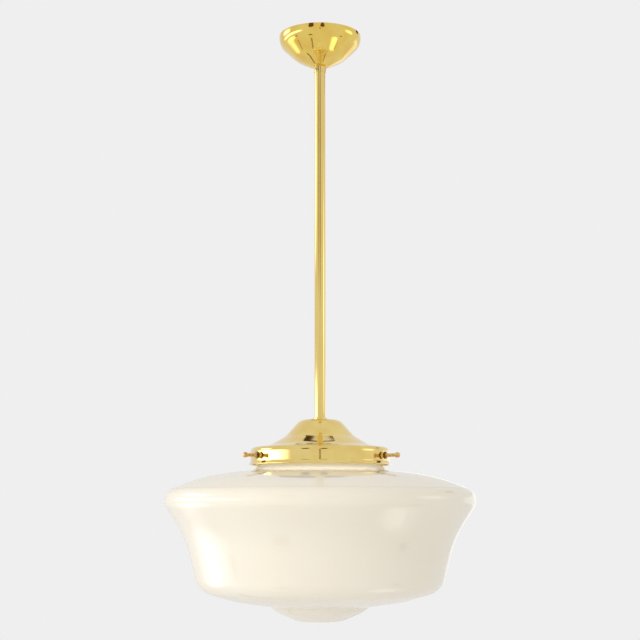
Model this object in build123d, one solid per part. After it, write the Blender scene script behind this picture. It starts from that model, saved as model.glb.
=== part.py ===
from build123d import *
import os
from math import cos, radians, sin

# Pendant ceiling light. Millimetres, +Z up. The origin is the middle of the ceiling plate's
# top face, so the ceiling is the plane z = 0 and the light hangs below it on the Z axis.

# ---- clearances ----
slip_gap = 0.30         # between pieces that stay apart when they move
shaft_gap = 0.05        # radial, screw in its thread or bore
thread_gap = 0.03       # radial, threaded nipple in the tube it is screwed into
slide_gap = 0.10        # radial, slip collar on the stem; also the eye on the hook
nut_gap = 0.10          # between a lock nut and its bush

# ---- ceiling plate and hook ----
plate_radius = 38.0
plate_thick = 2.5
slot_spacing = 51.0     # centre to centre of the two fixing slots
slot_width = 4.5
slot_length = 10.0
feed_hole_radius = 5.0
feed_hole_offset = 23.0
hook_wire = 5.0
hook_bend = 6.5         # radius of the hook's centreline
hook_drop = 16.5        # from the ceiling to the centre of the hook's lowest wire
hook_nut_wall = 1.5     # from the shank to the nut's flats
hook_nut_height = 4.0
hook_end_gap = 0.3      # the shank stops inside the plate, clear of the ceiling
plate_edge = 0.6        # chamfer round the plate's lower face

# ---- stem and its ring nipple ----
stem_diameter = 12.7
stem_wall = 1.35
stem_length = 425.5
stem_radius = stem_diameter / 2
stem_bore = stem_radius - stem_wall
eye_wire = 4.5
eye_bend = 8.0          # radius of the ring's centreline
wire_way = 7.0          # bore of both nipples
neck_height = 8.5       # solid neck between the ring and the stem
neck_in_ring = 3.9      # how far the neck's top stands above the ring's lowest point
neck_edge = 0.5         # chamfer on top of the neck
stud_length = 12.0      # how far a nipple is screwed into the stem
earth_tag_radius = 3.0
earth_tag_thick = 0.8
earth_tail_width = 2.4
earth_tail_length = 5.0
earth_screw_diameter = 3.0
earth_screw_grip = 2.4  # length of its shank in the neck
earth_head_radius = 2.75
earth_head_height = 1.8
screw_slot = 0.6            # width of the driver slots

# ---- canopy and slip collar ----
canopy_radius = 48.9
canopy_wall = 0.9
canopy_rim_z = -1.5
canopy_rim_height = 10.0
canopy_shoulder = (29.2, -29.7)
canopy_floor_radius = 10.9
canopy_floor_z = -39.0
canopy_bends = [17, 26, 5]
collar_wall = 0.7
collar_height = 7.5
collar_top_edge = 0.3
collar_foot_edge = 0.4
grub_diameter = 5.0
grub_length = 0.7
grub_slot_depth = 0.3
grub_point = 0.2
grub_angle = -30.0      # seen from above, from the front towards the right

# ---- gallery: each corner is a radius and a depth below the gallery's top ----
gallery_wall = 0.9
gallery_top_radius = 22.5
gallery_dome = (39.4, 18.9)
gallery_skirt = (58.7, 30.3)
gallery_band_top = 32.5
gallery_groove = 48.4
gallery_lip = 51.5
gallery_lip_flare = 1.0     # how far the lip stands out from the band
gallery_bead = 0.9          # radius of the rolled edge
foot_collar_step = 1.45     # how far the foot collar stands out from the stem
foot_collar_height = 2.6
foot_collar_edge = 0.6
gallery_bends = [13.9, 15.9, 28.5, 5.5, 2.0]

# ---- thumb screws ----
screw_angles = (-58.0, 62.0, 182.0)
screw_depth = 42.4          # of the screws' axes below the gallery's top
screw_diameter = 4.0
screw_reach = 20.9          # from the band to the knob's outer end
knob_diameter = 5.8
knob_length = 5.0
knob_round = 2.2
screw_point = 0.4           # chamfer on the tip
bush_wall = 1.2
bush_stand_out = 1.4
bush_sunk = 1.0             # how far it stands inside the band
bush_edge = 0.3
lock_nut_flats = 7.0
lock_nut_height = 2.7

# ---- glass shade: each corner is a radius and a depth below the screws' axes ----
glass_wall = 3.0
glass_lip_radius = 74.6     # made for a six-inch gallery
glass_lip_overhang = 4.6    # how far the lip stands out from the neck
glass_lip_height = 4.4
glass_neck_flare = 3.8      # how much the neck widens to its foot
glass_neck_depth = 15.9
glass_brow = (134.5, 21.1)
glass_widest = (185.2, 44.2)
glass_flank = (154.5, 90.3)
glass_foot = (138.0, 151.3)
glass_under = (101.0, 162.2)
glass_crease = (56.5, 169.2)
glass_drop_side = (49.5, 175.6)
glass_drop_edge = (27.0, 185.2)
glass_bends = [12, 9.7, 225, 14.7, 119.5, 24, 60, 5, 25, 14]
fitter_gap = 4.6            # from the glass lip to the inside of the gallery's band

# ---- lower nipple, washer and nut ----
washer_width = 5.0
washer_thick = 1.2
nut_wall = 2.0
nut_height = 3.5

# ---- lampholder ----
holder_radius = 19.5
holder_wall = 1.2
holder_cap_height = 18.0
holder_cap_flat = 5.0
holder_shell_height = 33.0
holder_bends = [3, 6]
nipple_in_holder = 6.5
insert_radius = 17.0
insert_height = 11.0
insert_recess = 1.0
insert_edge = 0.8
insert_grip = 1.0            # from the insert's top to the rib that holds it in the shell
terminal_offset = 9.0
terminal_depth = 4.0
terminal_screw_diameter = 3.0
terminal_sunk = 0.5          # of the screws' heads in the insert
terminal_slot_depth = 0.8
wire_hole_depth = 6.0
screw_shell_radius = 13.3    # inside
screw_shell_wall = 0.4
screw_shell_height = 20.0
screw_shell_window = 6.0     # radius of the opening for the contact
contact_radius = 4.0
contact_thick = 1.0

# ---- bulb ----
bulb_cap_radius = 13.0
bulb_cap_wall = 0.5
bulb_cap_height = 20.0
bulb_tip_radius = 4.6
bulb_tip_height = 1.6
bulb_insulator_height = 3.0
bulb_insulator_rim = 1.5     # from the tip, and from the cap's edge, to the insulator's cone
bulb_tip_round = 1.2
bulb_wall = 1.0
bulb_neck_radius = 15.0
bulb_neck_height = 12.0
bulb_radius = 30.0
bulb_glass_length = 81.0
mount_radius = 3.5
mount_foot_radius = 9.0
mount_foot_height = 14.0
mount_collar_radius = 7.0
mount_collar_thick = 1.5
filament_length = 30.0
filament_diameter = 1.8
filament_inset = 0.5         # from the edge of the mount's collars

# ---- connector block and wires ----
wire_diameter = 2.2
wire_offset = 1.75      # of each wire from the axis, inside the stem
pole_pitch = 8.0
block_length = 26.0
block_depth = 16.0
block_height = 10.0
block_face_y = -16.0    # the face that the wires enter
block_z = -9.5
block_corner = 1.0
insert_bore = 3.0
insert_wall = 1.0
insert_step = 1.0       # how far each brass insert lies inside the housing's faces
clamp_screw_diameter = 2.6
clamp_screw_length = 2.5
clamp_screw_entry = 0.1      # how far its tip stands in the insert's bore
clamp_slot_depth = 0.6
wire_over_neck = 1.9         # clearance of the wires over the ring nipple's neck
wire_in_block = 6.0          # how far the wires reach into the block
wire_rise = 4.0              # from the block's face to where the wires come level
wire_lead = 3.5              # the wires' run forward above the neck
wire_above_insert = 2.5      # straight run of the wires above the lampholder's insert
wire_in_insert = 5.5
wire_below_nipple = 2.5
earth_reach = 4.5            # from the block's face to the earth wire's bend
earth_end_y = -5.0
wire_bends = [3.0, 3.0, 3.3, 3.5, 3.5]
earth_bends = [4.0, 4.0]


upward = (Align.CENTER, Align.CENTER, Align.MIN)      # a cylinder that stands on its plane
downward = (Align.CENTER, Align.CENTER, Align.MAX)    # and one that hangs from it


def spun(corners, bends, wall):
    """A shell of even wall turned about Z. The corners give its outer line from the top down."""
    points = [Vector(radius, height) for radius, height in corners]
    runs = [(end - start).normalized() for start, end in zip(points, points[1:])]
    sides = [run.rotate(Axis.Z, -90) for run in runs]
    inner_points = [points[0] + sides[0] * wall]
    inner_bends = []
    for point, before, after, bend in zip(points[1:-1], sides, sides[1:], bends):
        inner_points.append(point + (before + after) * (wall / (1 + before.dot(after))))
        turns_inward = before.cross(after).Z < 0
        inner_bends.append(max(bend - wall, 0) if turns_inward else bend + wall)
    inner_points.append(points[-1] + sides[-1] * wall)
    outer = FilletPolyline(*points, radius=bends)
    inner = FilletPolyline(*inner_points, radius=inner_bends)
    ends = [Line(outer @ 0, inner @ 0), Line(outer @ 1, inner @ 1)]
    return revolve(Plane.XZ * make_face(Curve() + [outer, inner, *ends]), Axis.Z)


def below(top, corners):
    """Corners that are given as a radius and a depth, turned into a radius and a height."""
    return [(radius, top - depth) for radius, depth in corners]


def turned(*corners):
    """A solid turned about Z from a closed outline of (radius, z) corners."""
    return revolve(Plane.XZ * make_face(Polyline(*corners, close=True)), Axis.Z)


def tube(outer_radius, inner_radius, top, bottom):
    """A plain tube about Z between two heights."""
    outer = Cylinder(outer_radius, top - bottom, align=upward)
    inner = Cylinder(inner_radius, top - bottom, align=upward)
    return Pos(0, 0, bottom) * (outer - inner)


def rod(radius, top, bottom):
    """A plain rod about Z between two heights."""
    return Pos(0, 0, bottom) * Cylinder(radius, top - bottom, align=upward)


def hexagon(flats, height):
    """A hexagonal prism that stands on the XY plane, with its top and bottom corners chamfered."""
    prism = extrude(RegularPolygon(flats / 2, 6, major_radius=False), height)
    cone = Cylinder(flats * 0.56, height, align=upward)
    return prism & chamfer(cone.edges(), height * 0.1)


def outward(angle, height, radius):
    """The place at a radius from the stem's axis whose local Z points straight outward."""
    direction = (sin(radians(angle)), -cos(radians(angle)), 0)
    return Plane((radius * direction[0], radius * direction[1], height), x_dir=(0, 0, 1), z_dir=direction)


def cable(points, bends):
    """A round insulated wire along straight runs joined by tangent arcs."""
    path = FilletPolyline(*points, radius=bends)
    start = Plane(path @ 0, z_dir=path % 0)
    return sweep(start * Circle(wire_diameter / 2), path)


nodes = {}

# ---- ceiling plate: a pressed steel disc with two slots, a hole for the hook and one for the feed ----
plate = rod(plate_radius, 0, -plate_thick)
plate = chamfer(plate.edges().group_by(Axis.Z)[0], plate_edge)
slot = SlotOverall(slot_length, slot_width)
for side in (-1, 1):
    plate -= Pos(side * slot_spacing / 2, 0, -plate_thick) * extrude(slot, plate_thick)
plate -= Pos(0, hook_bend, 0) * rod(hook_wire / 2, 0, -plate_thick)
plate -= Pos(0, -feed_hole_offset, 0) * rod(feed_hole_radius, 0, -plate_thick)
nodes["ceiling_plate"] = plate

# ---- hook: round steel wire, its shank behind the axis so that the bend carries on the axis ----
hook_centre_z = -hook_drop + hook_bend
shank = Line((0, hook_bend, -hook_end_gap), (0, hook_bend, hook_centre_z))
bend_plane = Plane((0, 0, hook_centre_z), x_dir=(0, 1, 0), z_dir=(1, 0, 0))
bend = bend_plane * CenterArc((0, 0), hook_bend, 0, -180)
hook_path = Wire([shank.edge(), bend.edge()])
hook = sweep(Plane((0, hook_bend, -hook_end_gap), z_dir=(0, 0, -1)) * Circle(hook_wire / 2), hook_path)
hook += Pos(0, -hook_bend, hook_centre_z) * Sphere(hook_wire / 2)
nodes["ceiling_hook"] = hook

hook_nut = hexagon(hook_wire + 2 * hook_nut_wall, hook_nut_height) - rod(hook_wire / 2, hook_nut_height, 0)
nodes["hook_nut"] = Pos(0, hook_bend, -plate_thick - hook_nut_height) * hook_nut

# ---- ring nipple: the eye hangs on the hook, its neck stands on the stem, its stud is in the stem ----
eye_centre_z = -hook_drop + hook_wire / 2 + slide_gap + eye_wire / 2 - eye_bend
neck_top_z = eye_centre_z - eye_bend - eye_wire / 2 + neck_in_ring
neck_bottom_z = neck_top_z - neck_height
eye = Pos(0, 0, eye_centre_z) * Rot(X=90) * Torus(eye_bend, eye_wire / 2)
neck = chamfer(rod(stem_radius, neck_top_z, neck_bottom_z).edges().group_by(Axis.Z)[-1], neck_edge)
eye_stud = rod(stem_bore - thread_gap, neck_top_z - neck_height / 2, neck_bottom_z - stud_length)
ring_nipple = eye + neck + eye_stud
ring_nipple -= rod(wire_way / 2, eye_centre_z - eye_bend / 2, neck_bottom_z - stud_length)
earth_z = neck_bottom_z + earth_tag_radius + slip_gap
earth_hole = Cylinder(
    earth_screw_diameter / 2, 2 * stem_radius, align=upward
)
ring_nipple -= outward(90, earth_z, 0) * earth_hole
nodes["ring_nipple"] = ring_nipple

# ---- earth screw and tag: a ring tag held against the neck by a cheese-head screw ----
tag_face = stem_radius
tag_ring = extrude(Circle(earth_tag_radius), earth_tag_thick)
tag_tail = Pos(0, earth_tail_length) * Rectangle(earth_tail_width, earth_tail_length)
tag_tail = extrude(tag_tail, earth_tag_thick)
tag = tag_ring + tag_tail - extrude(Circle(earth_screw_diameter / 2 + shaft_gap), earth_tag_thick)
earth_turn = Plane((tag_face, 0, earth_z), x_dir=(0, 0, 1), z_dir=(1, 0, 0))
nodes["earth_tag"] = earth_turn * Rot(Z=180) * tag

earth_shank = Cylinder(
    earth_screw_diameter / 2, earth_screw_grip + earth_tag_thick, align=downward
)
earth_head = Cylinder(earth_head_radius, earth_head_height, align=upward)
earth_head -= Pos(0, 0, earth_head_height) * Box(screw_slot, 2 * earth_head_radius, earth_head_height)
nodes["earth_screw"] = outward(90, earth_z, tag_face + earth_tag_thick) * (earth_head + earth_shank)

# ---- stem: drawn brass tube from the ring nipple's neck down to the foot collar ----
stem_top_z = neck_bottom_z
stem_bottom_z = stem_top_z - stem_length
nodes["stem"] = tube(stem_radius, stem_bore, stem_top_z, stem_bottom_z)

# ---- canopy: spun brass cup that hides the hook, open against the ceiling ----
canopy_hole = stem_radius + slip_gap
canopy_corners = [
    (canopy_radius, canopy_rim_z),
    (canopy_radius, canopy_rim_z - canopy_rim_height),
    canopy_shoulder,
    (canopy_floor_radius, canopy_floor_z),
    (canopy_hole, canopy_floor_z),
]
nodes["canopy"] = spun(canopy_corners, canopy_bends, canopy_wall)

# ---- slip collar: a turned ring that carries the canopy and is clamped to the stem by a grub screw ----
collar_top_z = canopy_floor_z
collar_mid_z = collar_top_z - collar_height / 2
collar_bore = stem_radius + slide_gap
collar = rod(collar_bore + collar_wall, collar_top_z, collar_top_z - collar_height)
collar = fillet(collar.edges().group_by(Axis.Z)[0], collar_foot_edge)
collar = fillet(collar.edges().group_by(Axis.Z)[-1], collar_top_edge)
collar -= rod(collar_bore, collar_top_z, collar_top_z - collar_height)
grub_seat = outward(grub_angle, collar_mid_z, stem_radius)
grub_bore = Cylinder(
    grub_diameter / 2 + shaft_gap, 2 * grub_length, align=upward
)
nodes["slip_collar"] = collar - grub_seat * grub_bore

grub = Cylinder(grub_diameter / 2, grub_length, align=upward)
grub = chamfer(grub.edges().group_by(Axis.Z)[0], grub_point)
grub -= Pos(0, 0, grub_length) * Box(2 * grub_diameter, screw_slot, 2 * grub_slot_depth)
nodes["grub_screw"] = outward(grub_angle, collar_mid_z, stem_radius + slip_gap) * grub

# ---- foot collar: a turned ring between the stem and the gallery ----
gallery_top_z = stem_bottom_z - foot_collar_height
nipple_radius = stem_bore - thread_gap
foot_collar = rod(stem_radius + foot_collar_step, stem_bottom_z, gallery_top_z)
foot_collar = fillet(foot_collar.edges(), foot_collar_edge)
foot_collar -= rod(nipple_radius, stem_bottom_z, gallery_top_z)
nodes["foot_collar"] = foot_collar

# ---- gallery: spun brass fitter with a domed top, a flared skirt, an upright band and a rolled lip ----
band_inner_radius = glass_lip_radius + fitter_gap
band_radius = band_inner_radius + gallery_wall
lip_radius = band_radius + gallery_lip_flare
gallery_corners = [
    (nipple_radius, 0),
    (gallery_top_radius, 0),
    gallery_dome,
    gallery_skirt,
    (band_radius, gallery_band_top),
    (band_radius, gallery_groove),
    (lip_radius, gallery_lip),
]
gallery = spun(below(gallery_top_z, gallery_corners), gallery_bends, gallery_wall)
gallery += Pos(0, 0, gallery_top_z - gallery_lip) * Torus(lip_radius - gallery_wall / 2, gallery_bead)
screw_z = gallery_top_z - screw_depth
bush_radius = screw_diameter / 2 + shaft_gap + bush_wall
for angle in screw_angles:
    hole = Cylinder(bush_radius, 4 * gallery_wall, align=(Align.CENTER, Align.CENTER, Align.CENTER))
    gallery -= outward(angle, screw_z, band_inner_radius) * hole
nodes["gallery"] = gallery

# ---- screw bushes: threaded brass bushes riveted into the band ----
bush_inner = band_inner_radius - bush_sunk
bush_outer = band_radius + bush_stand_out
bushes = []
for angle in screw_angles:
    bush = Cylinder(bush_radius, bush_outer - bush_inner, align=upward)
    bush = fillet(bush.edges().group_by(Axis.Z)[-1], bush_edge)
    bush -= Cylinder(
        screw_diameter / 2 + shaft_gap, bush_outer - bush_inner, align=upward
    )
    bushes.append(outward(angle, screw_z, bush_inner) * bush)
nodes["screw_bushes"] = Compound(children=bushes)

# ---- lock nuts: one on each thumb screw, against its bush ----
nut_bore = Cylinder(
    screw_diameter / 2 + shaft_gap, lock_nut_height, align=upward
)
lock_nut = hexagon(lock_nut_flats, lock_nut_height) - nut_bore
for number, angle in enumerate(screw_angles, 1):
    nodes[f"lock_nut_{number}"] = outward(angle, screw_z, bush_outer + nut_gap) * lock_nut

# ---- thumb screws: a plain shank that ends under the glass lip and a ball knob outside ----
glass_neck_radius = glass_lip_radius - glass_lip_overhang
screw_tip_radius = glass_neck_radius + slip_gap
screw_length = band_radius + screw_reach - screw_tip_radius
thumb_shank = Cylinder(
    screw_diameter / 2, screw_length - knob_length / 2, align=upward
)
thumb_shank = chamfer(thumb_shank.edges().group_by(Axis.Z)[0], screw_point)
knob = Cylinder(knob_diameter / 2, knob_length, align=downward)
knob = fillet(knob.edges(), knob_round)
thumb_screw = thumb_shank + Pos(0, 0, screw_length) * knob
for number, angle in enumerate(screw_angles, 1):
    nodes[f"thumb_screw_{number}"] = outward(angle, screw_z, screw_tip_radius) * thumb_screw

# ---- glass shade: one blown piece whose rolled lip rests on the thumb screws ----
lip_bottom_z = screw_z + screw_diameter / 2 + slip_gap
lip_top_z = lip_bottom_z + glass_lip_height
glass_corners = [
    (glass_neck_radius, screw_z - lip_bottom_z - glass_lip_height / 2),
    (glass_neck_radius, screw_diameter),
    (glass_neck_radius + glass_neck_flare, glass_neck_depth),
    glass_brow,
    glass_widest,
    glass_flank,
    glass_foot,
    glass_under,
    glass_crease,
    glass_drop_side,
    glass_drop_edge,
    (0, glass_drop_edge[1]),
]
glass = spun(below(screw_z, glass_corners), glass_bends, glass_wall)
lip_inner_radius = glass_neck_radius - glass_wall
lip = Pos((lip_inner_radius + glass_lip_radius) / 2, (lip_bottom_z + lip_top_z) / 2) * RectangleRounded(
    glass_lip_radius - lip_inner_radius, glass_lip_height, glass_lip_height * 0.4
)
glass += revolve(Plane.XZ * lip, Axis.Z)
nodes["glass_shade"] = glass

# ---- lower nipple: threaded tube from the stem through the gallery into the lampholder ----
washer_top_z = gallery_top_z - gallery_wall
nut_top_z = washer_top_z - washer_thick
holder_top_z = nut_top_z - nut_height
nipple_bottom_z = holder_top_z - nipple_in_holder
nipple_top_z = stem_bottom_z + stud_length
nodes["nipple"] = tube(nipple_radius, wire_way / 2, nipple_top_z, nipple_bottom_z)
nodes["nipple_washer"] = tube(nipple_radius + washer_width, nipple_radius, washer_top_z, nut_top_z)
nipple_nut = hexagon(2 * (nipple_radius + nut_wall), nut_height) - rod(nipple_radius, nut_height, 0)
nodes["nipple_nut"] = Pos(0, 0, holder_top_z) * nipple_nut

# ---- lampholder cap: a domed brass cap screwed on the nipple ----
cap_bottom_z = holder_top_z - holder_cap_height
cap_corners = [
    (nipple_radius, holder_top_z),
    (nipple_radius + holder_cap_flat, holder_top_z),
    (holder_radius, holder_top_z - holder_cap_height * 0.55),
    (holder_radius, cap_bottom_z),
]
nodes["holder_cap"] = spun(cap_corners, holder_bends, holder_wall)

# ---- ceramic insert: carries the contacts and the terminals, held between the cap and the shell ----
insert_top_z = cap_bottom_z - insert_recess
insert_bottom_z = insert_top_z - insert_height
insert = chamfer(rod(insert_radius, insert_top_z, insert_bottom_z).edges(), insert_edge)
for side in (-1, 1):
    insert -= Pos(side * terminal_offset, 0, 0) * rod(
        wire_diameter / 2 + slip_gap, insert_top_z, insert_top_z - wire_hole_depth
    )
    tapped = Cylinder(
        terminal_screw_diameter / 2 + shaft_gap,
        insert_radius - terminal_offset,
        align=upward,
    )
    terminal_height = insert_top_z - terminal_depth
    mouth = Plane((side * insert_radius, 0, terminal_height), x_dir=(0, 1, 0), z_dir=(-side, 0, 0))
    insert -= mouth * tapped
nodes["holder_insert"] = insert

# ---- terminal screws: one for each wire, from the side of the insert ----
terminal_screws = []
terminal_seat = insert_radius - terminal_sunk
terminal_reach = terminal_seat - terminal_offset - wire_diameter / 2
for side in (-1, 1):
    screw = Cylinder(
        terminal_screw_diameter / 2, terminal_reach, align=upward
    )
    screw -= Box(screw_slot, 2 * terminal_screw_diameter, 2 * terminal_slot_depth)
    place = Plane((side * terminal_seat, 0, terminal_height), x_dir=(0, 1, 0), z_dir=(-side, 0, 0))
    terminal_screws.append(place * screw)
nodes["terminal_screws"] = Compound(children=terminal_screws)

# ---- centre contact and screw shell of the lampholder ----
contact_bottom_z = insert_bottom_z - contact_thick
nodes["holder_contact"] = rod(contact_radius, insert_bottom_z, contact_bottom_z)
screw_shell_bottom_z = insert_bottom_z - screw_shell_height
screw_shell = tube(
    screw_shell_radius + screw_shell_wall, screw_shell_radius, insert_bottom_z, screw_shell_bottom_z
)
screw_shell += tube(
    screw_shell_radius, screw_shell_window, insert_bottom_z, insert_bottom_z - screw_shell_wall
)
nodes["screw_shell"] = screw_shell

# ---- lampholder shell: the outer sleeve under the cap, turned in around the screw shell's mouth ----
shell_bottom_z = cap_bottom_z - holder_shell_height
mouth_radius = screw_shell_radius + screw_shell_wall + slip_gap
shell = tube(holder_radius, holder_radius - holder_wall, cap_bottom_z, shell_bottom_z)
shell += tube(holder_radius, mouth_radius, shell_bottom_z + holder_wall, shell_bottom_z)
shell += tube(holder_radius - holder_wall, insert_radius, insert_top_z - insert_grip, insert_bottom_z)
nodes["holder_shell"] = shell

# ---- bulb: screw cap, insulator and contact; glass envelope with its mount and filaments ----
tip_top_z = contact_bottom_z - slip_gap
insulator_top_z = tip_top_z - bulb_tip_height
bulb_cap_top_z = insulator_top_z - bulb_insulator_height
bulb_cap_bottom_z = bulb_cap_top_z - bulb_cap_height
tip = rod(bulb_tip_radius, tip_top_z, insulator_top_z)
nodes["bulb_contact"] = fillet(tip.edges().group_by(Axis.Z)[-1], bulb_tip_round)
insulator_edge = bulb_cap_radius - bulb_insulator_rim
nodes["bulb_insulator"] = turned(
    (0, insulator_top_z),
    (bulb_tip_radius + bulb_insulator_rim, insulator_top_z),
    (insulator_edge, bulb_cap_top_z),
    (0, bulb_cap_top_z),
)
cap_ring = tube(bulb_cap_radius, bulb_cap_radius - bulb_cap_wall, bulb_cap_top_z, bulb_cap_bottom_z)
cap_ring += tube(bulb_cap_radius, bulb_tip_radius, bulb_cap_top_z, bulb_cap_top_z - bulb_cap_wall)
nodes["bulb_cap"] = cap_ring

bulb_top_z = bulb_cap_bottom_z
bulb_bottom_z = bulb_top_z - bulb_glass_length
bulb_centre_z = bulb_bottom_z + bulb_radius


def bulb_outline(inset, top):
    """Half of the bulb's pear shape, drawn in from its surface by the inset and cut at a height."""
    neck_end_z = bulb_top_z - bulb_neck_height
    neck = Line((bulb_cap_radius - inset, top), (bulb_neck_radius - inset, neck_end_z))
    side = Spline(
        (bulb_neck_radius - inset, neck_end_z),
        (bulb_radius - inset, bulb_centre_z),
        tangents=((bulb_neck_radius - bulb_cap_radius, -bulb_neck_height), (0, -1)),
    )
    end = CenterArc((0, bulb_centre_z), bulb_radius - inset, 0, -90)
    axis = Line((0, bulb_bottom_z + inset), (0, top))
    lid = Line((0, top), (bulb_cap_radius - inset, top))
    return make_face(Curve() + [neck, side, end, axis, lid])


envelope = revolve(Plane.XZ * bulb_outline(0, bulb_top_z), Axis.Z)
envelope -= revolve(Plane.XZ * bulb_outline(bulb_wall, bulb_top_z - bulb_wall), Axis.Z)
nodes["bulb_glass"] = envelope

# ---- bulb mount: a glass stem with two collars that hold the filaments ----
mount_top_z = bulb_top_z - bulb_wall
upper_collar_z = bulb_centre_z + filament_length / 2
lower_collar_z = bulb_centre_z - filament_length / 2
mount = turned(
    (0, mount_top_z),
    (mount_foot_radius, mount_top_z),
    (mount_radius, mount_top_z - mount_foot_height),
    (mount_radius, lower_collar_z - mount_collar_thick),
    (0, lower_collar_z - mount_collar_thick),
)
mount += rod(mount_collar_radius, upper_collar_z + mount_collar_thick, upper_collar_z)
mount += rod(mount_collar_radius, lower_collar_z, lower_collar_z - mount_collar_thick)
nodes["bulb_mount"] = mount

# ---- filaments: four straight LED filaments between the mount's collars ----
filament_ring = mount_collar_radius - filament_diameter / 2 - filament_inset
filaments = []
for place in PolarLocations(filament_ring, 4):
    filaments.append(place * rod(filament_diameter / 2, upper_collar_z, lower_collar_z))
nodes["bulb_filaments"] = Compound(children=filaments)

# ---- connector block: a moulded housing with three brass inserts and six clamp screws ----
block_middle_y = block_face_y - block_depth / 2
block = Pos(0, block_middle_y, block_z) * Box(block_length, block_depth, block_height)
block = fillet(block.edges().filter_by(Axis.Z), block_corner)
pole_places = [(number - 1) * pole_pitch for number in range(3)]
screw_places = [block_middle_y - block_depth / 4, block_middle_y + block_depth / 4]
insert_outer = insert_bore / 2 + insert_wall
inserts = []
clamp_screws = []
for x in pole_places:
    insert_axis = Plane((x, block_face_y, block_z), x_dir=(1, 0, 0), z_dir=(0, -1, 0))
    passage = Cylinder(insert_outer, block_depth, align=upward)
    block -= insert_axis * passage
    sleeve_length = block_depth - 2 * insert_step
    sleeve = Cylinder(insert_outer, sleeve_length, align=upward)
    sleeve -= Cylinder(insert_bore / 2, sleeve_length, align=upward)
    sleeve = insert_axis * Pos(0, 0, insert_step) * sleeve
    for y in screw_places:
        well = rod(clamp_screw_diameter / 2, block_z, block_z - block_height / 2)
        block -= Pos(x, y, 0) * well
        sleeve -= Pos(x, y, 0) * well
        clamp_top_z = block_z - insert_bore / 2 + clamp_screw_entry
        clamp_foot_z = clamp_top_z - clamp_screw_length
        clamp = rod(clamp_screw_diameter / 2, clamp_top_z, clamp_foot_z)
        clamp -= Pos(0, 0, clamp_foot_z) * Box(clamp_screw_diameter, screw_slot, 2 * clamp_slot_depth)
        clamp_screws.append(Pos(x, y, 0) * clamp)
    inserts.append(sleeve)
nodes["connector_block"] = block
nodes["connector_inserts"] = Compound(children=inserts)
nodes["connector_screws"] = Compound(children=clamp_screws)

# ---- wires: two run from the block through the ring nipple and the stem to the lampholder ----
wire_turn_z = neck_top_z + wire_diameter / 2 + wire_over_neck
wire_end_y = block_face_y - wire_in_block
wire_rise_y = block_face_y + wire_rise
wire_spread_z = nipple_bottom_z - wire_below_nipple
wire_plug_z = insert_top_z + wire_above_insert
wire_foot_z = insert_top_z - wire_in_insert
poles = {"wire_live": (-1, pole_places[0]), "wire_neutral": (1, pole_places[1])}
for name, (side, pole_x) in poles.items():
    wire_points = [
        (side * terminal_offset, 0, wire_foot_z),
        (side * terminal_offset, 0, wire_plug_z),
        (side * wire_offset, 0, wire_spread_z),
        (side * wire_offset, 0, wire_turn_z),
        (side * wire_offset, wire_rise_y + wire_lead, wire_turn_z),
        (pole_x, wire_rise_y, block_z),
        (pole_x, wire_end_y, block_z),
    ]
    nodes[name] = cable(wire_points, wire_bends)

# ---- earth wire: from the third pole down to the tag on the neck ----
earth_x = tag_face + earth_tag_thick + wire_diameter / 2
earth_turn_y = block_face_y + earth_reach
earth_points = [
    (earth_x, earth_end_y, earth_z),
    (earth_x, earth_turn_y, earth_z),
    (pole_places[2], earth_turn_y, block_z),
    (pole_places[2], wire_end_y, block_z),
]
nodes["wire_earth"] = cable(earth_points, earth_bends)

os.makedirs("parts", exist_ok=True)
for name, piece in nodes.items():
    export_step(piece, f"parts/{name}.step")
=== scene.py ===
from math import acos, cos, pi, radians, sin, tan

import bmesh
import bpy
from mathutils import Matrix, Vector


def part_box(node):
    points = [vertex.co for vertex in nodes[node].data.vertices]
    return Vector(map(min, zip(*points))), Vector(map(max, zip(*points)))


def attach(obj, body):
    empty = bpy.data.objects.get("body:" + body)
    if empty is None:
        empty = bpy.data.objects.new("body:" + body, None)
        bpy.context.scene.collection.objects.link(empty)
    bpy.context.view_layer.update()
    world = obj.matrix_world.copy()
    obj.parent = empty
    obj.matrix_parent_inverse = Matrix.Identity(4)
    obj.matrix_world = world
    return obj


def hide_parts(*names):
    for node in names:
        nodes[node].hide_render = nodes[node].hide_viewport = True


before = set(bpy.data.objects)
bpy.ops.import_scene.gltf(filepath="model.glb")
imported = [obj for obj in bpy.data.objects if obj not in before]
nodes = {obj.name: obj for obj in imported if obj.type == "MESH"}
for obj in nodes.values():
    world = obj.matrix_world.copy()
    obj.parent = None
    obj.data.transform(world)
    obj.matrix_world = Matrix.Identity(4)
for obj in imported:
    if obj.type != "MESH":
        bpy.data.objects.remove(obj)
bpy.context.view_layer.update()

# ---- the whole lamp's place, and the camera ----
# The lamp hangs from the ceiling plane z = 0 on the Z axis. The camera stands in front of it, a
# little above the shade, and looks slightly up, so the canopy is seen from below.
camera_data = bpy.data.cameras.new("camera")
camera_data.lens = 75.15
camera_data.sensor_width = 36.0
camera_data.clip_end = 200.0
camera = bpy.data.objects.new("camera", camera_data)
camera.location = (0.0, -1.547, -0.5635)
camera.rotation_euler = (radians(98.0), 0.0, 0.0)
bpy.context.scene.collection.objects.link(camera)
bpy.context.scene.camera = camera


# ---- canopy: a cup of thin brass sheet, spun over a form, polished and lacquered ----
# Its rim stands just off the ceiling and its floor rests on the slip collar. The lathe left faint
# rings round it, which polishing has nearly taken away.
def add_node(tree, kind, place=(0, 0), **settings):
    """A node in a tree, with its properties and its unlinked inputs set by name."""
    node = tree.nodes.new(kind)
    node.location = place
    for name, value in settings.items():
        if name.startswith("in_"):
            node.inputs[name[3:].replace("_", " ")].default_value = value
        else:
            setattr(node, name, value)
    return node


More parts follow.
